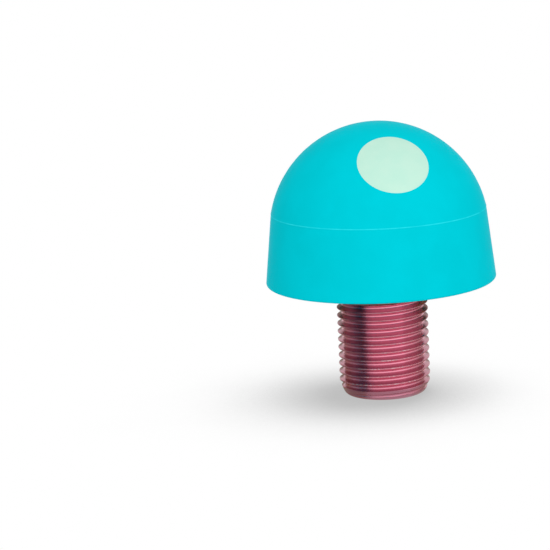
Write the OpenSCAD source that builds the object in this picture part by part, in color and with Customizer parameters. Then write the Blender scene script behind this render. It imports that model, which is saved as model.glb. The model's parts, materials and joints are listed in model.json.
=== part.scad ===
// Roller skate toe stop: a moulded rubber dome on a threaded metal stem.
// It stands on the end of its stem, with the dome up. The mark on the dome faces -Y.

/* [Pad] */
// Diameter of the rim, where the pad is widest
rim_d = 39.8; // [38:0.1:44]
// Height of the pad, from the rim to the top of the dome
pad_h = 27.7; // [26:0.1:31]
// Radius of the dome
dome_r = 18.95; // [18.4:0.05:19.6]
// Height of the mould's parting line above the rim, where the skirt meets the dome
parting_h = 12.5; // [10:0.1:15]
// Rounding of the rim's outer edge
rim_round = 0.4; // [0.2:0.05:0.8]

/* [Base] */
// Width of the raised plain band around the base
band_w = 1; // [0.8:0.1:2.5]
// How far the grooved face lies behind the band
recess = 0.3; // [0.2:0.05:0.8]
// Number of radial grooves
groove_count = 40; // [12:1:60]
// Width of a groove
groove_w = 0.5; // [0.3:0.05:0.8]
// Depth of a groove
groove_depth = 0.6; // [0.3:0.05:1.2]
// Width of the plain ring between the flange and the grooves
collar_w = 1.1; // [0.75:0.05:3]
// Width of the bevel that leaves a fine gap around the flange
gap_bevel = 0.2; // [0.1:0.05:0.4]

/* [Stem] */
// Outside diameter of the thread, a little under 5/8 inch
thread_d = 15.8; // [15:0.1:16.5]
// Length of the stem below the rim
stem_len = 19.9; // [14:0.1:40]
// Diameter of the flat on the stem's end
end_d = 12.1; // [10:0.1:12.5]
// Rounding of the stem's end
end_round = 1.25; // [0.4:0.05:1.4]
// Height at which the lead-in taper reaches the thread's outside diameter
lead_h = 2.3; // [1.5:0.1:3.5]
// Length of the relief groove between the thread and the flange
relief_len = 3.2; // [2.6:0.1:5]
// Depth of the relief groove below the thread's crests
relief_depth = 0.85; // [0.5:0.05:1.2]
// Rounding in the corner between the relief groove and the flange
relief_round = 0.5; // [0.2:0.05:0.8]
// Diameter of the flange
flange_d = 17.4; // [17:0.1:20]

/* [Insert] */
// Thickness of the flange, sunk in the pad
flange_t = 2.8; // [1.5:0.1:4]
// Diameter of the waist that the rubber grips
waist_d = 12.6; // [11:0.1:14]
// Length of the waist
waist_len = 2.4; // [1.5:0.1:4]
// Thickness of the shoulder that carries the anchor plate
shoulder_t = 1.6; // [1:0.1:2.5]
// Diameter of the spigot through the anchor plate
spigot_d = 10; // [8:0.5:11]
// How far the swaged head overhangs the spigot
swage_w = 1.4; // [0.8:0.1:2]
// Height of the swaged head
swage_h = 1.3; // [0.8:0.1:2]
// Diameter of the anchor plate
anchor_d = 30; // [28:0.5:32]
// Thickness of the anchor plate
anchor_t = 2.5; // [1.5:0.1:3]
// Bevel on the anchor plate's outer edges
anchor_bevel = 0.5; // [0.2:0.1:0.6]
// Number of flow holes in the anchor plate
hole_count = 6; // [3:1:8]
// Diameter of a flow hole
hole_d = 4.4; // [3:0.1:4.6]

/* [Mark] */
// Diameter of the round mark on the dome
mark_d = 12.2; // [6:0.1:15]
// Tilt of the mark's centre from the top of the dome, in degrees
mark_tilt = 42; // [30:1:55]
// Thickness of the mark, flush in the dome's skin
mark_t = 0.2; // [0.1:0.05:0.4]

/* [Hidden] */
$fn = 96;
eps = 0.01;

rim_r = rim_d / 2;
rim_z = stem_len;
face_z = rim_z + recess;
dome_z = rim_z + pad_h - dome_r;
parting_z = rim_z + parting_h;
parting_r = sqrt(pow(dome_r, 2) - pow(parting_z - dome_z, 2));

thread_r = thread_d / 2;
thread_top = face_z - relief_len;
relief_r = thread_r - relief_depth;
flange_r = flange_d / 2;
end_r = end_d / 2;
waist_z = face_z + flange_t;
shoulder_z = waist_z + waist_len;
plate_z = shoulder_z + shoulder_t;
swage_z = plate_z + anchor_t;
spigot_r = spigot_d / 2;
swage_r = spigot_r + swage_w;

groove_in = flange_r + collar_w;
groove_out = rim_r - band_w;
hole_ring_r = (flange_r + anchor_d / 2 - anchor_bevel) / 2;

// Angle at which a straight side to a point leaves a rounding
function leaving(centre, r, point) =
  let (way = point - centre) atan2(way[1], way[0]) - acos(r / norm(way));

// Points on an arc about a centre, from one angle to another
function arc(centre, r, from, to, steps = 8) =
  [for (i = [0:steps]) let (a = from + (to - from) * i / steps) centre + r * [cos(a), sin(a)]];

// Half outline of the pad: raised band, rounded rim, flaring skirt and round dome
module pad_outline() {
  rim_c = [rim_r - rim_round, rim_z + rim_round];
  parting = [parting_r, parting_z];
  polygon(concat(
    [[0, face_z], [groove_out, face_z], [groove_out, rim_z]],
    arc(rim_c, rim_round, -90, leaving(rim_c, rim_round, parting)),
    [parting, [0, parting_z]]
  ));
  intersection() {
    translate([0, dome_z]) circle(r = dome_r);
    translate([0, parting_z]) square([rim_r, pad_h]);
  }
}

// One radial groove, cut up into the base along +X
module groove() {
  translate([groove_in, -groove_w / 2, face_z - eps])
    cube([groove_out - groove_in, groove_w, groove_depth + eps]);
}

// The room for the mark in the dome's skin: proud is how far it stands out of the dome
module mark_disc(proud) {
  translate([0, 0, dome_z]) intersection() {
    difference() {
      sphere(r = dome_r + proud);
      sphere(r = dome_r - mark_t);
    }
    rotate([mark_tilt, 0, 0]) cylinder(d = mark_d, h = dome_r * 2);
  }
}

module rubber_pad() {
  color([0.0, 0.8, 0.86]) difference() {
    rotate_extrude() pad_outline();
    for (i = [0:groove_count - 1]) rotate(i * 360 / groove_count) groove();
    translate([0, 0, face_z - eps])
      cylinder(r1 = flange_r + gap_bevel + eps, r2 = flange_r, h = gap_bevel + eps);
    stem_solid();
    plate_solid();
    mark_disc(1);
  }
}

// Turned stem: rounded end, lead-in taper, thread at its outside diameter, relief groove and
// flange, then the moulded-in waist, shoulder and spigot, its end swaged over the plate
module stem_solid() {
  end_c = [end_r, end_round];
  lead = [thread_r, lead_h];
  rotate_extrude() polygon(concat(
    [[0, 0]],
    arc(end_c, end_round, -90, leaving(end_c, end_round, lead)),
    [lead, [thread_r, thread_top], [relief_r, thread_top + relief_depth]],
    arc([relief_r + relief_round, face_z - relief_round], relief_round, 180, 90),
    [[flange_r, face_z], [flange_r, waist_z], [waist_d / 2, waist_z]],
    [[waist_d / 2, shoulder_z], [flange_r, shoulder_z], [flange_r, plate_z]],
    [[spigot_r, plate_z], [spigot_r, swage_z], [swage_r, swage_z]],
    [[swage_r - swage_w / 2, swage_z + swage_h], [0, swage_z + swage_h]]
  ));
}

module threaded_stem() {
  color([0.84, 0.42, 0.54]) stem_solid();
}

// Disc with bevelled edges, a hole for the spigot and a ring of flow holes
module plate_solid() {
  r = anchor_d / 2;
  difference() {
    translate([0, 0, plate_z]) rotate_extrude() polygon([
      [spigot_r, 0], [r - anchor_bevel, 0], [r, anchor_bevel],
      [r, anchor_t - anchor_bevel], [r - anchor_bevel, anchor_t], [spigot_r, anchor_t]
    ]);
    for (i = [0:hole_count - 1]) rotate((i + 0.5) * 360 / hole_count)
      translate([hole_ring_r, 0, plate_z - 1]) cylinder(d = hole_d, h = anchor_t + 2);
  }
}

module anchor_plate() {
  color([0.72, 0.73, 0.75]) plate_solid();
}

module printed_dot() {
  color([0.77, 0.94, 0.87]) mark_disc(0);
}

rubber_pad();
threaded_stem();
anchor_plate();
printed_dot();
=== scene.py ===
# %% [markdown]
# # A roller skate toe stop
# A toe stop is a rubber dome on a threaded metal stem. It screws into the toe of a quad skate,
# and the skater brakes, turns and jumps on it. The stop stands on the end of its stem here, with
# the dome up. Its sizes come from a measured model, which is loaded first and stays as it is.
# This lesson then makes the surfaces that the eye reads: the moulded rubber, the cut thread,
# the printed mark, and their finishes.

# %% Load the measured model
import json

import bmesh
import bpy
import numpy as np
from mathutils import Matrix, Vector


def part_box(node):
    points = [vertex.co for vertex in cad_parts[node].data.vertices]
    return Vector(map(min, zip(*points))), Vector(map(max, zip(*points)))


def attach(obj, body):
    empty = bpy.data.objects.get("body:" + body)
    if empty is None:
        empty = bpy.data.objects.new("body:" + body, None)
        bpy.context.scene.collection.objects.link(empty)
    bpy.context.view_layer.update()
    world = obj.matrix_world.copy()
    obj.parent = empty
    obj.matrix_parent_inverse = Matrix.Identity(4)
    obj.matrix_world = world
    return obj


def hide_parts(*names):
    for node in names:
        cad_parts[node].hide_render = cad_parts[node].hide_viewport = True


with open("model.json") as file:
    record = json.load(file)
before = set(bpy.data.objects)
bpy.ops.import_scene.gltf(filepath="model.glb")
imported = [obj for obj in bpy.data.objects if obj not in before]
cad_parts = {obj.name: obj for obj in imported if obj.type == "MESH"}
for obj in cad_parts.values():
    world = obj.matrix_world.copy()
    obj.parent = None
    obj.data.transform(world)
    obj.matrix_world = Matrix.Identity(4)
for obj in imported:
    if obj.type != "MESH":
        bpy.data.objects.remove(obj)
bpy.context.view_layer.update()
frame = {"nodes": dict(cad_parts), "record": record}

# %% [markdown]
# ## Sizes
# Everything that can be read from the measured model is read from it: the rim and the top of
# the dome from the pad's box, the flange from the stem's box, and the thread from the mount
# that says where the stem screws in. A few sizes that no box shows are written here once.

# %% Sizes read from the model
MM = 0.001
pad_low, pad_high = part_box("rubber_pad")
stem_low, stem_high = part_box("threaded_stem")
plate_low, plate_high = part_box("anchor_plate")
mark_low, mark_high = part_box("printed_dot")
thread_mount = next(m for m in frame["record"]["mounts"] if m["name"] == "stem_thread")

rim_z, top_z = pad_low.z, pad_high.z
rim_r = (pad_high.x - pad_low.x) / 2
flange_r = (stem_high.x - stem_low.x) / 2
plate_r = (plate_high.x - plate_low.x) / 2
mark_r = (mark_high.x - mark_low.x) / 2
thread_r = thread_mount["dims"]["r_mm"] * MM
thread_half = thread_mount["dims"]["length_mm"] * MM / 2
lead_z = thread_mount["pos_m"][2] - thread_half
thread_top = thread_mount["pos_m"][2] + thread_half
print(f"rim radius {rim_r / MM:.2f} mm, thread radius {thread_r / MM:.3f} mm")

# %% Sizes that no box shows
PARTING_RISE = 12.5 * MM
RECESS = 0.3 * MM
dome_r = 18.95 * MM
dome_z = top_z - dome_r
parting_z = rim_z + PARTING_RISE
parting_r = np.sqrt(dome_r**2 - (parting_z - dome_z) ** 2)
face_z = rim_z + RECESS
print(f"parting line: radius {parting_r / MM:.2f} mm, {PARTING_RISE / MM:.1f} mm over the rim")

# %% [markdown]
# ## The camera
# The camera stands where the photographer's stood: its place, tilt and long lens were found by
# fitting circles of known size to the edges of the stop. It looks slightly down and is rolled
# a little, so the stop leans to the left in the picture.

# %% Camera
CAMERA_PLACE = np.array([-117.17, -503.51, 127.68]) * MM
CAMERA_TURN = np.radians([78.39, 2.64, -11.61])
FOCAL_PIXELS = 3046
IMAGE_PIXELS = 550
SENSOR_WIDTH = 36.0

camera = bpy.data.objects.new("camera", bpy.data.cameras.new("camera"))
camera.location = CAMERA_PLACE
camera.rotation_euler = CAMERA_TURN
camera.data.sensor_width = SENSOR_WIDTH
camera.data.lens = SENSOR_WIDTH * FOCAL_PIXELS / IMAGE_PIXELS
camera.data.clip_start = 10 * MM
bpy.context.scene.collection.objects.link(camera)
bpy.context.scene.camera = camera
print(f"lens {camera.data.lens:.1f} mm")

# %% [markdown]
# ## From numbers to a mesh
# Each piece here is turned or moulded, so its surface is a grid: rows follow an outline from
# one end of the axis to the other, and columns go round. One function turns any such grid into
# a closed mesh. It joins points that fall on each other, which closes the seam and the poles.

# %% Outlines and skins
SAME_PLACE = 1e-4 * MM


def straight(start, end, count):
    """Points on a straight line: start + (end - start) * t, for t from 0 to 1."""
    t = np.linspace(0.0, 1.0, count)[:, None]
    return np.asarray(start) + (np.asarray(end) - np.asarray(start)) * t


def arc(centre, radius, from_deg, to_deg, count):
    """Points on a circle: centre + radius * (cos a, sin a), for a between two angles."""
    a = np.radians(np.linspace(from_deg, to_deg, count))
    return np.asarray(centre) + radius * np.stack([np.cos(a), np.sin(a)], axis=1)


def leaving(centre, radius, point):
    """Angle in degrees at which a straight line to a point leaves a circle that it touches: the
    point's direction less acos(radius / distance)."""
    way = np.asarray(point) - np.asarray(centre)
    return np.degrees(np.arctan2(way[1], way[0]) - np.arccos(radius / np.hypot(*way)))


def joined(*stretches):
    """Stretches of an outline in one list, without the points that repeat where two meet."""
    points = np.vstack(stretches)
    steps = np.linalg.norm(np.diff(points, axis=0), axis=1)
    return points[np.append(True, steps > SAME_PLACE)]


def turned(radius, angle, height):
    """Grid of points from radii, angles and heights: (r cos a, r sin a, z)."""
    radius, angle, height = np.broadcast_arrays(radius, angle, height)
    return np.stack([radius * np.cos(angle), radius * np.sin(angle), height], axis=-1)


def skin(name, grid, crease_deg=35.0, **marks):
    """A closed mesh over a grid of points, rows by columns, whose last column falls on the first.
    marks are numbers per point that the finish reads by name."""
    rows, columns = grid.shape[:2]
    index = np.arange(rows * columns).reshape(rows, columns)
    quads = np.stack([index[:-1, :-1], index[1:, :-1], index[1:, 1:], index[:-1, 1:]], axis=-1)
    mesh = bpy.data.meshes.new(name)
    mesh.from_pydata(grid.reshape(-1, 3).tolist(), [], quads.reshape(-1, 4).tolist())
    for mark, values in marks.items():
        numbers = np.broadcast_to(values, (rows, columns)).astype(np.float32).ravel()
        mesh.attributes.new(mark, "FLOAT", "POINT").data.foreach_set("value", numbers)
    shell = bmesh.new()
    shell.from_mesh(mesh)
    bmesh.ops.remove_doubles(shell, verts=shell.verts, dist=SAME_PLACE)
    if shell.calc_volume(signed=True) < 0:
        bmesh.ops.reverse_faces(shell, faces=shell.faces)
    volume = shell.calc_volume(signed=True)
    open_edges = sum(not edge.is_manifold for edge in shell.edges)
    shell.to_mesh(mesh)
    shell.free()
    mesh.shade_smooth()
    mesh.set_sharp_from_angle(angle=np.radians(crease_deg))
    piece = bpy.data.objects.new(name, mesh)
    bpy.context.scene.collection.objects.link(piece)
    print(f"{name}: {len(mesh.polygons)} faces, {volume / MM**3:.0f} mm3, {open_edges} open edges")
    return piece


# %% [markdown]
# ## The moulded-in end of the stem
# The metal goes on inside the rubber: a flange flush with the base, a waist that the rubber
# grips, a shoulder, and a spigot that holds the anchor plate and is swaged over it. The stem
# and the hollow in the pad share these corners, so they are worked out once, before both.

# %% Corners of the insert
FLANGE_DEPTH = 2.8 * MM
WAIST_R = 6.3 * MM
WAIST_LENGTH = 2.4 * MM
SPIGOT_R = 5.0 * MM
SWAGE_R = 6.4 * MM
SWAGE_LEAN = 0.7 * MM
PLATE_BEVEL = 0.5 * MM
waist_z = face_z + FLANGE_DEPTH
shoulder_z = waist_z + WAIST_LENGTH
plate_z, swage_z, insert_top = plate_low.z, plate_high.z, stem_high.z

grip = np.array([
    [flange_r, waist_z], [WAIST_R, waist_z], [WAIST_R, shoulder_z],
    [flange_r, shoulder_z], [flange_r, plate_z],
])
spigot = np.array([[SPIGOT_R, plate_z], [SPIGOT_R, swage_z]])
plate_edge = np.array([
    [plate_r - PLATE_BEVEL, plate_z], [plate_r, plate_z + PLATE_BEVEL],
    [plate_r, swage_z - PLATE_BEVEL], [plate_r - PLATE_BEVEL, swage_z],
])
swage = np.array([[SWAGE_R, swage_z], [SWAGE_R - SWAGE_LEAN, insert_top], [0.0, insert_top]])
print(f"insert reaches {(insert_top - rim_z) / MM:.1f} mm into the pad")

# %% [markdown]
# ## The rubber pad
# The pad is moulded in one shot round the stem. Its outline runs from the top of the dome, over
# the parting line where the mould halves met, down the flaring skirt, round the rim, across the
# base and up into the hollow that the metal fills. Turned about the axis it would be smooth, but
# the base has radial grooves. Cutting each with a Boolean leaves slivers, so the grid carries
# them: some columns run along the groove edges, and those between are let down into the base.

# %% Columns that follow the grooves
GROOVE_COUNT = 40
GROOVE_HALF = 0.25 * MM
GROOVE_DEPTH = 0.6 * MM
GROOVE_ACROSS = np.array([-1.25, -1.0, -0.85, -0.6, 0.0, 0.6, 0.85, 1.0, 1.25]) * GROOVE_HALF
GROOVE_SHAPE = np.array([0.0, 0.1, 0.85, 1.0, 1.0, 1.0, 0.85, 0.1, 0.0])
LAND_SHARES = np.array([0.25, 0.5, 0.75])
COLLAR_WIDTH = 1.1 * MM
BAND_WIDTH = 1.0 * MM
groove_in = flange_r + COLLAR_WIDTH
groove_out = rim_r - BAND_WIDTH
groove_step = 2 * np.pi / GROOVE_COUNT


def groove_columns(radii):
    """Angles of all columns at each radius. A column at a distance y from a groove's middle line
    stands at the angle asin(y / r), so grooves keep their width. The rest share the land."""
    r = np.clip(radii, groove_in, rim_r)[:, None]
    in_groove = np.arcsin(GROOVE_ACROSS / r)
    edge = in_groove[:, -1:]
    on_land = edge + (groove_step - 2 * edge) * LAND_SHARES
    sector = np.hstack([in_groove, on_land])
    starts = groove_step * np.arange(GROOVE_COUNT)[None, :, None]
    angles = (sector[:, None, :] + starts).reshape(len(r), -1)
    return np.hstack([angles, angles[:, :1] + 2 * np.pi])


groove_cut = np.tile(np.append(GROOVE_SHAPE, np.zeros(len(LAND_SHARES))), GROOVE_COUNT)
groove_cut = np.append(groove_cut, groove_cut[0])
print(f"{len(groove_cut)} columns for {GROOVE_COUNT} grooves")

# %% Outline of the pad
RIM_ROUND = 0.4 * MM
EDGE_ROUND = 0.08 * MM
GAP_BEVEL = 0.2 * MM
FLASH_WIDTH = 0.07 * MM
parting = np.array([parting_r, parting_z])
rim_centre = np.array([rim_r - RIM_ROUND, rim_z + RIM_ROUND])
skirt_deg = leaving(rim_centre, RIM_ROUND, parting)
skirt_foot = arc(rim_centre, RIM_ROUND, skirt_deg, skirt_deg, 1)[0]
flash_reach = 3 * FLASH_WIDTH
flash_foot = parting + (skirt_foot - parting) * flash_reach / np.hypot(*(skirt_foot - parting))
parting_deg = np.degrees(np.arcsin((parting_z - dome_z) / dome_r))
flash_deg = parting_deg + np.degrees(flash_reach / dome_r)

outside = joined(
    arc([0, dome_z], dome_r, 90, flash_deg, 56),
    arc([0, dome_z], dome_r, flash_deg, parting_deg, 7),
    straight(parting, flash_foot, 7),
    straight(flash_foot, skirt_foot, 14),
    arc(rim_centre, RIM_ROUND, skirt_deg, -90, 9),
    straight([rim_centre[0], rim_z], [groove_out + EDGE_ROUND, rim_z], 3),
    arc([groove_out + EDGE_ROUND, rim_z + EDGE_ROUND], EDGE_ROUND, 270, 180, 4),
)
groove_end = groove_in + np.array([0.1, 0.04, 0.0, -0.06]) * MM
end_shape = np.array([1.0, 0.85, 0.1, 0.0])
face_radii = np.concatenate([np.linspace(groove_out, groove_end[0], 7), groove_end[1:]])
face = np.stack([face_radii, np.full(len(face_radii), face_z)], axis=1)
hollow = joined(
    straight([groove_end[-1], face_z], [flange_r + GAP_BEVEL, face_z], 3)[1:],
    [[flange_r, face_z + GAP_BEVEL]], grip, plate_edge, swage,
)
pad_outline = np.vstack([outside, face, hollow])
let_down = np.concatenate([
    np.zeros(len(outside)),
    np.interp(face_radii, groove_end[::-1], end_shape[::-1]),
    np.zeros(len(hollow)),
])
print(f"{len(pad_outline)} rows from the top of the dome to the top of the hollow")

# %% [markdown]
# Where the mould halves met, a fine fin of rubber is left. It is a few hundredths of a
# millimetre high and uneven, because it was trimmed. A bell curve across the line gives its
# section, and a few waves of different lengths along the line make it uneven.

# %% Pad with grooves and parting line
FLASH_HEIGHT = 0.05 * MM
WAVE_COUNTS = np.array([7, 13, 22, 37, 61, 95])
wave_phases = np.random.default_rng(11).uniform(0, 2 * np.pi, len(WAVE_COUNTS))


def uneven(angle):
    """A number near 0.5 that wanders between 0 and 1 round the axis: a mean of cosines."""
    waves = np.cos(WAVE_COUNTS[:, None, None] * angle + wave_phases[:, None, None])
    return np.clip(0.5 + 0.9 * waves.mean(axis=0), 0, 1)


pad_angle = groove_columns(pad_outline[:, 0])
from_parting = np.hypot(*(pad_outline - parting).T)[:, None]
flash = np.exp(-((from_parting / FLASH_WIDTH) ** 2)) * (0.35 + 0.65 * uneven(pad_angle))
pad_radius = pad_outline[:, :1] + FLASH_HEIGHT * flash
pad_height = pad_outline[:, 1:] + GROOVE_DEPTH * let_down[:, None] * groove_cut
pad = skin("moulded_pad", turned(pad_radius, pad_angle, pad_height), flash=flash)
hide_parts("rubber_pad")
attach(pad, "root")

# %% [markdown]
# ## The threaded stem
# A thread is a V-shaped ridge that climbs one pitch in each turn. A screw modifier could turn
# a profile upwards, but its ends would be raw. Here the rows of the grid climb with the thread,
# so that each runs along its crest, flank or root, and a clamp stops them at the two ends. The
# turned outline then cuts the ridge down at the stem's tapered end and in the relief groove. On
# this stem the lower edge of the crest is rounder than the upper one, and catches a wider light.

# %% Section of the thread
TURNS_PER_INCH = 18
INCH = 25.4 * MM
FLANK_DEG = 60
THREAD_DEPTH = 0.76 * MM
CREST_HALF = 0.08 * MM
UPPER_BLEND, LOWER_BLEND = 0.05 * MM, 0.13 * MM
ROOT_BLEND = 0.23 * MM
pitch = INCH / TURNS_PER_INCH
root_r = thread_r - THREAD_DEPTH
steep = np.tan(np.radians(FLANK_DEG))
root_half = CREST_HALF + THREAD_DEPTH / steep


def smooth_least(a, b, blend):
    """The lesser of two numbers, with the corner rounded over a stretch of the given size."""
    share = np.clip(0.5 + 0.5 * (b - a) / blend, 0, 1)
    return b + (a - b) * share - blend * share * (1 - share)


def thread_radius(phase):
    """Radius across one pitch, with the crest at phase 0: a V of 60 degrees, r falling by
    tan 60 per unit of distance from the crest, cut off and rounded at crest and root."""
    over_crest = (phase + 0.5) % 1.0 - 0.5
    flank = thread_r - (np.abs(over_crest) * pitch - CREST_HALF) * steep
    crested = smooth_least(flank, thread_r, np.where(over_crest > 0, UPPER_BLEND, LOWER_BLEND))
    return -smooth_least(-crested, -root_r, ROOT_BLEND)


print(f"pitch {pitch / MM:.3f} mm, root radius {root_r / MM:.2f} mm")

# %% [markdown]
# The end of the stem is turned to a flat with a generous rounding, and a taper leads from there
# to the full thread. The outline below holds the rounding, the taper and the 45 degree end at the
# relief groove. Wherever it is slimmer than the thread, it is what the lathe left.

# %% Outline that cuts the thread
END_R = 6.05 * MM
END_ROUND = 1.25 * MM
RELIEF_DEPTH = 0.85 * MM
relief_r = thread_r - RELIEF_DEPTH
end_centre = np.array([END_R, END_ROUND])
lead = np.array([thread_r, lead_z])
lead_deg = leaving(end_centre, END_ROUND, lead)
root_deg = -np.degrees(np.arccos((root_r - END_R) / END_ROUND))
thread_high = thread_top + RELIEF_DEPTH
rounded_end = arc(end_centre, END_ROUND, -90, root_deg, 10)
cutter = joined(
    arc(end_centre, END_ROUND, root_deg, lead_deg, 10), [lead],
    [[thread_r, thread_top], [relief_r, thread_high]],
)
thread_low = cutter[0, 1]
print(f"thread between {thread_low / MM:.2f} and {thread_high / MM:.2f} mm")

# %% Thread between the rounded end and the relief groove
COLUMNS = 144
THREAD_START = 0.46
SPARE_TURNS = 2


def half_rows(blend):
    """Distances of the rows from the crest, as shares of the pitch: close together where crest
    and root are rounded, and a few on the straight flank between."""
    crest_rows = CREST_HALF + blend / steep * np.linspace(-1, 1, 7)
    root_rows = root_half + ROOT_BLEND / steep * np.linspace(-1, 1, 9)
    flank_rows = np.linspace(crest_rows[-1], root_rows[0], 4)[1:-1]
    return np.concatenate([crest_rows, flank_rows, root_rows]) / pitch


row_phases = np.concatenate([[-0.5], -half_rows(LOWER_BLEND)[::-1], [0.0], half_rows(UPPER_BLEND)])
turn_count = int(np.ceil(thread_high / pitch)) + SPARE_TURNS + 1
stem_angle = np.linspace(0, 2 * np.pi, COLUMNS + 1)[None, :]
climb = pitch * (stem_angle / (2 * np.pi) + THREAD_START)

row_start = pitch * (np.arange(-SPARE_TURNS, turn_count)[:, None] + row_phases).reshape(-1, 1)
thread_z = np.clip(row_start + climb, thread_low, thread_high)
turned_r = np.interp(thread_z, cutter[:, 1], cutter[:, 0])
thread_r_cut = np.minimum(thread_radius((thread_z - climb) / pitch), turned_r)
thread_grid = turned(thread_r_cut, stem_angle, thread_z)
print(f"{(thread_high - thread_low) / pitch:.1f} turns in {len(thread_z)} rows")

# %% [markdown]
# The lathe faced the end of the stem with one pass from the rim to the middle, which leaves
# a fine spiral. It is a ripple whose phase goes with the radius less the angle, so that one turn
# brings it one feed further in. The feed was uneven, so ripples of a few feeds are mixed.

# %% Stem from its faced end to its swaged head
FACING_FEEDS = np.array([0.25, 0.36, 0.55, 0.8])[:, None, None] * MM
FACING_DEPTH = 0.05 * MM
FADE_MIDDLE, FADE_EDGE = 0.3 * MM, 0.2 * MM
PALE_EDGE = 0.3 * MM
RELIEF_ROUND = 0.5 * MM
FLANGE_ROUND = 0.12 * MM

end_radii = np.linspace(0, END_R, 140)[:, None]
ripples = 0.5 - 0.5 * np.cos(2 * np.pi * end_radii / FACING_FEEDS - stem_angle)
from_edge = END_R - end_radii
fade = np.clip(end_radii / FADE_MIDDLE, 0, 1) * np.clip(from_edge / FADE_EDGE, 0, 1)
cut = ripples.mean(axis=0) * (0.4 + 0.9 * uneven(stem_angle + end_radii / MM)) * fade
end_grid = turned(end_radii, stem_angle, FACING_DEPTH * cut)
neck = joined(
    straight([relief_r, thread_high], [relief_r, face_z - RELIEF_ROUND], 4),
    arc([relief_r + RELIEF_ROUND, face_z - RELIEF_ROUND], RELIEF_ROUND, 180, 90, 8),
    straight([relief_r + RELIEF_ROUND, face_z], [flange_r - FLANGE_ROUND, face_z], 5),
    arc([flange_r - FLANGE_ROUND, face_z + FLANGE_ROUND], FLANGE_ROUND, -90, 0, 5),
    grip, spigot, swage,
)
rounded_grid = turned(rounded_end[:, :1], stem_angle, rounded_end[:, 1:])
neck_grid = turned(neck[:, :1], stem_angle, neck[:, 1:])
stem_grid = np.vstack([end_grid, rounded_grid, thread_grid, neck_grid])
faced = np.zeros(stem_grid.shape[:2])
faced[: len(cut)] = np.clip(1 - cut, 0, 1) * np.clip(from_edge / PALE_EDGE, 0, 1)
stem = skin("threaded_stem_turned", stem_grid, faced=faced)
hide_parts("threaded_stem")
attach(stem, "root")

# %% [markdown]
# ## The printed mark
# The pale round mark is a film of ink on the dome. It is a cap of a sphere a hair larger than the
# dome, turned about its own axis and then tipped towards the front.

# %% Mark
MARK_TILT = np.radians(42.0)
FILM = 0.015 * MM
FILM_ROOT = 0.1 * MM
FILM_SLOPE_DEG = 0.08
mark_deg = np.degrees(np.arcsin(mark_r / dome_r))
mark_outline = joined(
    arc([0, 0], dome_r + FILM, 90, 90 - mark_deg + FILM_SLOPE_DEG, 28),
    arc([0, 0], dome_r - FILM_ROOT, 90 - mark_deg, 90, 10),
)
mark_angle = np.linspace(0, 2 * np.pi, 129)[None, :]
upright = turned(mark_outline[:, :1], mark_angle, mark_outline[:, 1:])
tip = np.array([
    [1, 0, 0],
    [0, np.cos(MARK_TILT), -np.sin(MARK_TILT)],
    [0, np.sin(MARK_TILT), np.cos(MARK_TILT)],
])
mark = skin("printed_mark", upright @ tip.T + [0, 0, dome_z])
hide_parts("printed_dot")
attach(mark, "root")

# %% [markdown]
# ## Writing finishes as sums
# A finish is a small program of nodes. Wiring them one by one hides the idea, so a value from
# a node is wrapped in a class whose plus, minus and times add the Math nodes. Any other node
# comes from one method, with its settings first and then its sockets.

# %% Finish and value
class Value:
    """A number or colour that comes out of a node. Arithmetic on it adds Math nodes."""

    def __init__(self, finish, socket):
        self.finish = finish
        self.socket = socket

    def math(self, operation, first, second):
        return self.finish.node("ShaderNodeMath", {"operation": operation}, {0: first, 1: second})

    def __add__(self, other):
        return self.math("ADD", self, other)

    __radd__ = __add__

    def __sub__(self, other):
        return self.math("SUBTRACT", self, other)

    def __rsub__(self, other):
        return self.math("SUBTRACT", other, self)

    def __mul__(self, other):
        return self.math("MULTIPLY", self, other)

    __rmul__ = __mul__


class Finish:
    """A node tree written in Python. node() adds any node and gives back one of its outputs."""

    def __init__(self, tree):
        self.tree = tree
        tree.nodes.clear()

    def node(self, kind, settings=(), sockets=(), out=0):
        made = self.tree.nodes.new(kind)
        for name, value in dict(settings).items():
            setattr(made, name, value)
        for name, value in dict(sockets).items():
            if isinstance(value, Value):
                self.tree.links.new(value.socket, made.inputs[name])
            else:
                made.inputs[name].default_value = value
        return Value(self, made.outputs[out]) if made.outputs else None

    def place(self):
        return self.node("ShaderNodeTexCoord", out="Object")

    def noise(self, where, size, detail=2.0):
        """Cloudy noise between 0 and 1, with clouds of about the given size in metres."""
        sockets = {"Vector": where, "Scale": 1 / size, "Detail": detail}
        return self.node("ShaderNodeTexNoise", {}, sockets)

    def ramp(self, value, low, high):
        """0 below low, 1 above high, and smooth between."""
        settings = {"interpolation_type": "SMOOTHSTEP"}
        sockets = {"Value": value, "From Min": low, "From Max": high}
        return self.node("ShaderNodeMapRange", settings, sockets)

    def blend(self, share, first, second):
        """One colour where share is 0, the other where it is 1."""
        sockets = {0: share, 6: first, 7: second}
        return self.node("ShaderNodeMix", {"data_type": "RGBA"}, sockets, out=2)

    def bump(self, height, depth, strength=1.0):
        sockets = {"Height": height, "Distance": depth, "Strength": strength}
        return self.node("ShaderNodeBump", {}, sockets)

    def surface(self, **sockets):
        """A Principled surface. Underscores in the names stand for spaces."""
        named = {name.replace("_", " "): value for name, value in sockets.items()}
        shader = self.node("ShaderNodeBsdfPrincipled", {}, named)
        self.node("ShaderNodeOutputMaterial", {}, {"Surface": shader})


def new_finish(name):
    material = bpy.data.materials.new(name)
    material.use_nodes = True
    return material, Finish(material.node_tree)


def wear(piece, material):
    piece.data.materials.clear()
    piece.data.materials.append(material)
    print(f"{piece.name} wears {material.name}")
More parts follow.
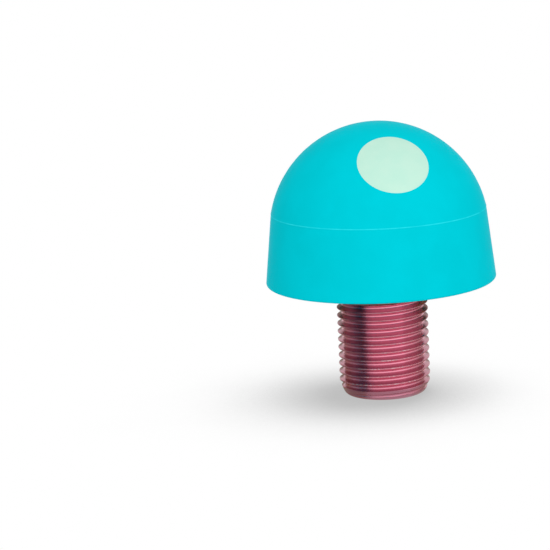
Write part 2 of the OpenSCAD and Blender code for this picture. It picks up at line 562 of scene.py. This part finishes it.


# %% [markdown]
# ## Teal rubber
# Moulded rubber takes the skin of its mould: satin, with a grain too fine to see at arm's length,
# and a colour that wanders a little where the mix flowed. The trimmed fin at the parting line
# is thin enough to glow, and that glow is painted in: its colour is lighter there.

# %% Teal rubber
TEAL = (0.0, 0.595, 0.685, 1)
TEAL_FLOWED = (0.0, 0.615, 0.71, 1)
# painted glow: the fin is coloured a lighter teal, standing in for light that shines through it
TEAL_FIN_PAINTED_GLOW = (0.03, 0.82, 0.90, 1)
SKIN_GRAIN, SKIN_DEPTH = 0.18 * MM, 0.012 * MM
FLOW_SIZE = 6 * MM

teal_rubber, finish = new_finish("teal_rubber")
place = finish.place()
grain = finish.noise(place, SKIN_GRAIN, 3.0)
flow = finish.noise(place, FLOW_SIZE)
fin = finish.node("ShaderNodeAttribute", {"attribute_name": "flash"}, out="Fac")
colour = finish.blend(finish.ramp(flow, 0.35, 0.65), TEAL, TEAL_FLOWED)
finish.surface(
    Base_Color=finish.blend(fin, colour, TEAL_FIN_PAINTED_GLOW),
    Roughness=0.28 + 0.08 * grain + 0.04 * flow,
    Specular_IOR_Level=0.002,
    Normal=finish.bump(grain, SKIN_DEPTH, 0.6),
)
wear(pad, teal_rubber)

# %% [markdown]
# ## Pink anodised aluminium
# The stem is turned aluminium, dyed pink in its anodised skin. In the thread, light bounces from
# flank to flank, and each bounce takes on more of the dye, so the grooves look raspberry and the
# open faces pale. A bright line along the round bottom of the groove is a painted highlight, and
# so is a lighter pink along the crests. Tool marks run round the axis: noise that reads only the
# radius and the height draws rings on faces and lines round the stem. The crests near the end of
# the stem are paler in patches of specks, partly rubbed wear and partly painted glints, and the
# ridges that the facing left on the end are paler too, partly wear and partly painted highlights.

# %% Pink anodised aluminium
PINK = (0.675, 0.252, 0.343, 1)
# painted highlights: a lighter pink along the crests, and a bright pink line at the bottom of the
# groove
PINK_CREST_HIGHLIGHT = (0.80, 0.27, 0.34, 1)
PINK_ROOT_HIGHLIGHT = (1.0, 0.31, 0.43, 1)
# pale pink of rubbed wear together with painted glints and highlights, on crest specks and end
# ridges
PALE_WEAR_AND_GLINT = (0.95, 0.58, 0.63, 1)
TOOL_MARK, TOOL_DEPTH = 0.08 * MM, 0.004 * MM
SPECK_SIZE, PATCH_SIZE = 0.3 * MM, 2 * MM
CREST_START, CREST_FULL = 0.07 * MM, 0.01 * MM
CREST_FADE = 0.2 * MM
# heights over which the crest specks of wear and painted glints fade out up the stem
SPECKS_FULL, SPECKS_END = 5 * MM, 14 * MM
ROOT_EDGE = 0.01 * MM

pink_anodised, finish = new_finish("pink_anodised")
place = finish.place()
x, y, z = [finish.node("ShaderNodeSeparateXYZ", {}, {0: place}, out=axis) for axis in "XYZ"]
radius = finish.node("ShaderNodeMath", {"operation": "SQRT"}, {0: x * x + y * y})
rings = finish.node("ShaderNodeCombineXYZ", {}, {"X": radius, "Z": z})
tool_marks = finish.noise(rings, TOOL_MARK, 3.0)
speckle = finish.noise(place, SPECK_SIZE, 2.0)
crest = finish.ramp(radius, thread_r - CREST_START, thread_r - CREST_FULL)
crest = crest * (1 - finish.ramp(z, thread_top, thread_top + CREST_FADE))
patches = finish.noise(place, PATCH_SIZE)
# crest specks: partly rubbed wear, partly painted glints
wear_and_glint_specks = crest * finish.ramp(speckle + 0.6 * patches, 0.84, 0.94)
wear_and_glint_specks = wear_and_glint_specks * (1 - finish.ramp(z, SPECKS_FULL, SPECKS_END))
faced = finish.node("ShaderNodeAttribute", {"attribute_name": "faced"}, out="Fac")
# ridges on the faced end: paler, partly from wear and partly from painted highlights
ridges = finish.ramp(faced * (0.3 + 0.5 * speckle + 0.8 * tool_marks), 0.25, 0.8)
# painted highlight along the bottom of the groove, between the two ends of the thread
root = 1 - finish.ramp(radius, root_r, root_r + ROOT_EDGE)
root = root * finish.ramp(z, thread_low, lead_z) * (1 - finish.ramp(z, thread_top, thread_high))
dyed = finish.blend(crest, finish.blend(root, PINK, PINK_ROOT_HIGHLIGHT), PINK_CREST_HIGHLIGHT)
finish.surface(
    Base_Color=finish.blend(wear_and_glint_specks + 0.65 * ridges, dyed, PALE_WEAR_AND_GLINT),
    Metallic=1.0,
    Roughness=0.12 + 0.08 * tool_marks + 0.12 * crest,
    Coat_Weight=0.5,
    Coat_IOR=1.6,
    Coat_Roughness=0.12,
    Normal=finish.bump(tool_marks + 0.6 * speckle, TOOL_DEPTH, 0.4),
)
wear(stem, pink_anodised)

# %% [markdown]
# ## Mint ink and blasted steel
# The mark is a matt ink with a faint grain. The anchor plate is hidden in the rubber. It is
# steel, blasted with grit so that the rubber bonds to it.

# %% Mint ink
MINT = (0.55, 0.835, 0.70, 1)
MINT_THIN = (0.52, 0.825, 0.69, 1)
INK_GRAIN, INK_DEPTH = 0.15 * MM, 0.01 * MM
COVER_SIZE = 3 * MM

mint_mark, finish = new_finish("mint_mark")
place = finish.place()
grain = finish.noise(place, INK_GRAIN, 3.0)
coverage = finish.noise(place, COVER_SIZE)
finish.surface(
    Base_Color=finish.blend(finish.ramp(coverage, 0.35, 0.65), MINT, MINT_THIN),
    Roughness=0.5 + 0.1 * grain,
    Specular_IOR_Level=0.1,
    Normal=finish.bump(grain, INK_DEPTH, 0.5),
)
wear(mark, mint_mark)

# %% Blasted steel
STEEL = (0.48, 0.49, 0.51, 1)
STEEL_DARK = (0.36, 0.37, 0.39, 1)
GRIT_SIZE, GRIT_DEPTH = 0.25 * MM, 0.03 * MM

plate_steel, finish = new_finish("plate_steel")
place = finish.place()
grit = finish.noise(place, GRIT_SIZE, 4.0)
finish.surface(
    Base_Color=finish.blend(finish.ramp(grit, 0.35, 0.7), STEEL_DARK, STEEL),
    Metallic=1.0,
    Roughness=0.5 + 0.2 * grit,
    Normal=finish.bump(grit, GRIT_DEPTH, 0.8),
)
wear(frame["nodes"]["anchor_plate"], plate_steel)

# %% [markdown]
# ## Floor and light
# The stop stands in a light tent: white floor, white surroundings, and one wide soft lamp above
# and to the right of the camera. The metal doesn't mirror the lamp, which would leave hot streaks
# in the thread. Under light that is plain for the rubber, a matt floor comes out grey, and more
# light would bleach the colours. So the floor is matt only for the light that bounces between
# things. To the camera and to shiny metal it is white paper, which dims where the stop shuts out
# the surroundings: the Ambient Occlusion node measures that. It looks up along a direction that
# leans to the bright side of the tent, so the shadow falls to the other side. From below, or from
# less than a hair away, the floor is clear, so that the base and the end of the stem can be seen.

# %% Floor
FLOOR_SIDE = 6.0
FLOOR_DROP = 0.01 * MM
FLOOR_MATT = (0.9, 0.9, 0.9, 1)
SEEN_RAYS = ("Is Camera Ray", "Is Glossy Ray", "Is Transmission Ray")
SHADOW_REACH = 60 * MM
BRIGHT_SIDE = Vector((0.24, 0.10, 1.0)).normalized()
SHADOW_DARK, SHADOW_GAIN, SHADOW_LEAST = 0.02, 1.17, 0.52
TOUCH = 0.07 * MM

floor_mesh = bpy.data.meshes.new("floor")
corners = np.array([[-1, -1, 0], [1, -1, 0], [1, 1, 0], [-1, 1, 0]]) * FLOOR_SIDE / 2
floor_mesh.from_pydata((corners - [0, 0, FLOOR_DROP]).tolist(), [], [[0, 1, 2, 3]])
floor = bpy.data.objects.new("floor", floor_mesh)
bpy.context.scene.collection.objects.link(floor)

floor_white, finish = new_finish("floor_white")
seen = sum(finish.node("ShaderNodeLightPath", out=kind) for kind in SEEN_RAYS)
bright_way = finish.node("ShaderNodeCombineXYZ", {}, dict(zip("XYZ", BRIGHT_SIDE)))
open_sky = finish.node("ShaderNodeAmbientOcclusion", {"samples": 16}, {
    "Distance": SHADOW_REACH, "Normal": bright_way,
}, out="AO")
brightness = finish.node("ShaderNodeClamp", {}, {
    "Value": SHADOW_DARK + SHADOW_GAIN * open_sky, "Min": SHADOW_LEAST,
})
matt = finish.node("ShaderNodeBsdfDiffuse", {}, {"Color": FLOOR_MATT})
paper = finish.node("ShaderNodeEmission", {}, {"Strength": brightness})
lit = finish.node("ShaderNodeMixShader", {}, {0: seen, 1: matt, 2: paper})
below = finish.node("ShaderNodeNewGeometry", out="Backfacing")
reach = finish.node("ShaderNodeLightPath", out="Ray Length")
touching = finish.node("ShaderNodeMath", {"operation": "LESS_THAN"}, {0: reach, 1: TOUCH})
hidden = finish.node("ShaderNodeMath", {"operation": "MAXIMUM"}, {0: below, 1: touching})
clear = finish.node("ShaderNodeBsdfTransparent")
both = finish.node("ShaderNodeMixShader", {}, {0: hidden, 1: lit, 2: clear})
finish.node("ShaderNodeOutputMaterial", {}, {"Surface": both})
wear(floor, floor_white)

# %% Surroundings and lamp
SURROUND = 0.67
LAMP_PLACE = np.array([0.01, -0.73, 0.53])
LAMP_SIDE = 0.8
LAMP_WATTS = 3.6

world = bpy.data.worlds.new("light_tent")
world.use_nodes = True
bpy.context.scene.world = world
finish = Finish(world.node_tree)
seen = sum(finish.node("ShaderNodeLightPath", out=kind) for kind in SEEN_RAYS)
strength = SURROUND + (1 - SURROUND) * seen
tent = finish.node("ShaderNodeBackground", {}, {"Color": (1, 1, 1, 1), "Strength": strength})
finish.node("ShaderNodeOutputWorld", {}, {"Surface": tent})

lamp = bpy.data.objects.new("front_lamp", bpy.data.lights.new("front_lamp", "AREA"))
lamp.data.size = LAMP_SIDE
lamp.data.energy = LAMP_WATTS
lamp.location = LAMP_PLACE
lamp.rotation_euler = Vector(LAMP_PLACE).to_track_quat("Z", "Y").to_euler()
lamp.visible_glossy = False
bpy.context.scene.collection.objects.link(lamp)
bpy.context.scene.view_settings.view_transform = "Standard"
print(f"surroundings {SURROUND}, lamp {LAMP_WATTS} W")

# %% [markdown]
# A round mirror shows everything around it, and in an all-white tent it would look flat. So
# photographers put dark cards or gauze around it. Here a sleeve of dark gauze stands round the
# stem. It is thin in front and behind, where it thickens a little towards the top, and thicker at
# the sides. A thin strip on either side makes the edges of the stem pale, and the thick gauze
# past it outlines them. At the left of the front it is thickest, and draws a dark stripe down the
# thread. A lid of it covers the bright base of the pad, and its foot runs in under the rounded end.
# The gauze is a warm brown, and a cool teal along the stripe, except at the foot. Only reflections
# from inside the sleeve see it, so nothing else loses light. Each of its stops is a turn from the
# front, in degrees, and how thick the gauze is there.

# %% Gauze sleeve for the reflections
SLEEVE_R = 11.0 * MM
FOOT_R = 6.65 * MM
SLEEVE_RISE = np.array([[0.06], [0.5], [13.0], [16.5], [19.0], [19.2]]) * MM
SLEEVE_STOPS = np.array([
    [-180, 0.15], [-160, 0.28], [-145, 0.74], [-128, 0.80], [-121, 0.38], [-113, 0.32],
    [-106, 0.76], [-95, 0.75], [-70, 0.74], [-56, 0.86], [-44, 0.92], [-36, 0.78],
    [-30, 0.46], [-20, 0.20], [0, 0.08], [25, 0.02], [38, 0.02], [44, 0.24],
    [84, 0.62], [100, 0.64], [106, 0.30], [121, 0.30], [127, 0.70], [145, 0.66],
    [160, 0.25], [180, 0.15],
])
FOOT_MOST = 0.68
LOW_EXTRA = 0.15
FRONT_TILT = 0.08
LID_SHADE = 0.9
SIDE_TURNS = np.array([60, 90, 135, 155])
COOL_TURNS = np.array([-90, -60, -25, -10])

front = np.arctan2(CAMERA_PLACE[1], CAMERA_PLACE[0])
turns = np.linspace(-180, 180, 181)[None, :]
around = np.interp(turns, SLEEVE_STOPS[:, 0], SLEEVE_STOPS[:, 1])
beside = np.interp(np.abs(turns), SIDE_TURNS, [0, 1, 1, 0])
stripe = np.interp(turns, COOL_TURNS, [0, 1, 1, 0])
low = around * (1 + LOW_EXTRA * beside) - FRONT_TILT * (1 - beside)
high = around + (LID_SHADE - around) * beside + FRONT_TILT * (1 - beside)
lid = np.full_like(around, LID_SHADE)
foot = np.minimum(around, FOOT_MOST)
shade = np.clip(np.vstack([foot, low, around, high, high, lid]), 0, 1)
warm = np.zeros_like(stripe)
cool = np.vstack([warm, stripe, stripe, stripe, stripe, warm])
sleeve_radius = np.array([[FOOT_R], [SLEEVE_R], [SLEEVE_R], [SLEEVE_R], [SLEEVE_R], [thread_r]])
sleeve_points = turned(sleeve_radius, front + np.radians(turns), SLEEVE_RISE)

index = np.arange(shade.size).reshape(shade.shape)
sheets = np.stack([index[:-1, :-1], index[:-1, 1:], index[1:, 1:], index[1:, :-1]], axis=-1)
sleeve_mesh = bpy.data.meshes.new("gauze_sleeve")
sleeve_mesh.from_pydata(sleeve_points.reshape(-1, 3).tolist(), [], sheets.reshape(-1, 4).tolist())
for label, values in {"shade": shade, "cool": cool}.items():
    numbers = values.astype(np.float32).ravel()
    sleeve_mesh.attributes.new(label, "FLOAT", "POINT").data.foreach_set("value", numbers)
sleeve = bpy.data.objects.new("gauze_sleeve", sleeve_mesh)
bpy.context.scene.collection.objects.link(sleeve)
sleeve.visible_camera = sleeve.visible_diffuse = False
sleeve.visible_shadow = sleeve.visible_transmission = False
print(f"sleeve of {len(sleeve_mesh.polygons)} faces, shade {shade.min():.2f} to {shade.max():.2f}")

# %% Gauze
GAUZE_WARM = (0.42, 0.26, 0.10, 1)
GAUZE_COOL = (0.0, 0.30, 0.36, 1)

gauze, finish = new_finish("gauze")
thickness = finish.node("ShaderNodeAttribute", {"attribute_name": "shade"}, out="Fac")
cool_side = finish.node("ShaderNodeAttribute", {"attribute_name": "cool"}, out="Fac")
from_inside = finish.node("ShaderNodeNewGeometry", out="Backfacing")
colour = finish.blend(cool_side, GAUZE_WARM, GAUZE_COOL)
dark = finish.node("ShaderNodeBsdfDiffuse", {}, {"Color": colour})
clear = finish.node("ShaderNodeBsdfTransparent")
veil = finish.node("ShaderNodeMixShader", {}, {0: thickness * from_inside, 1: clear, 2: dark})
finish.node("ShaderNodeOutputMaterial", {}, {"Surface": veil})
wear(sleeve, gauze)
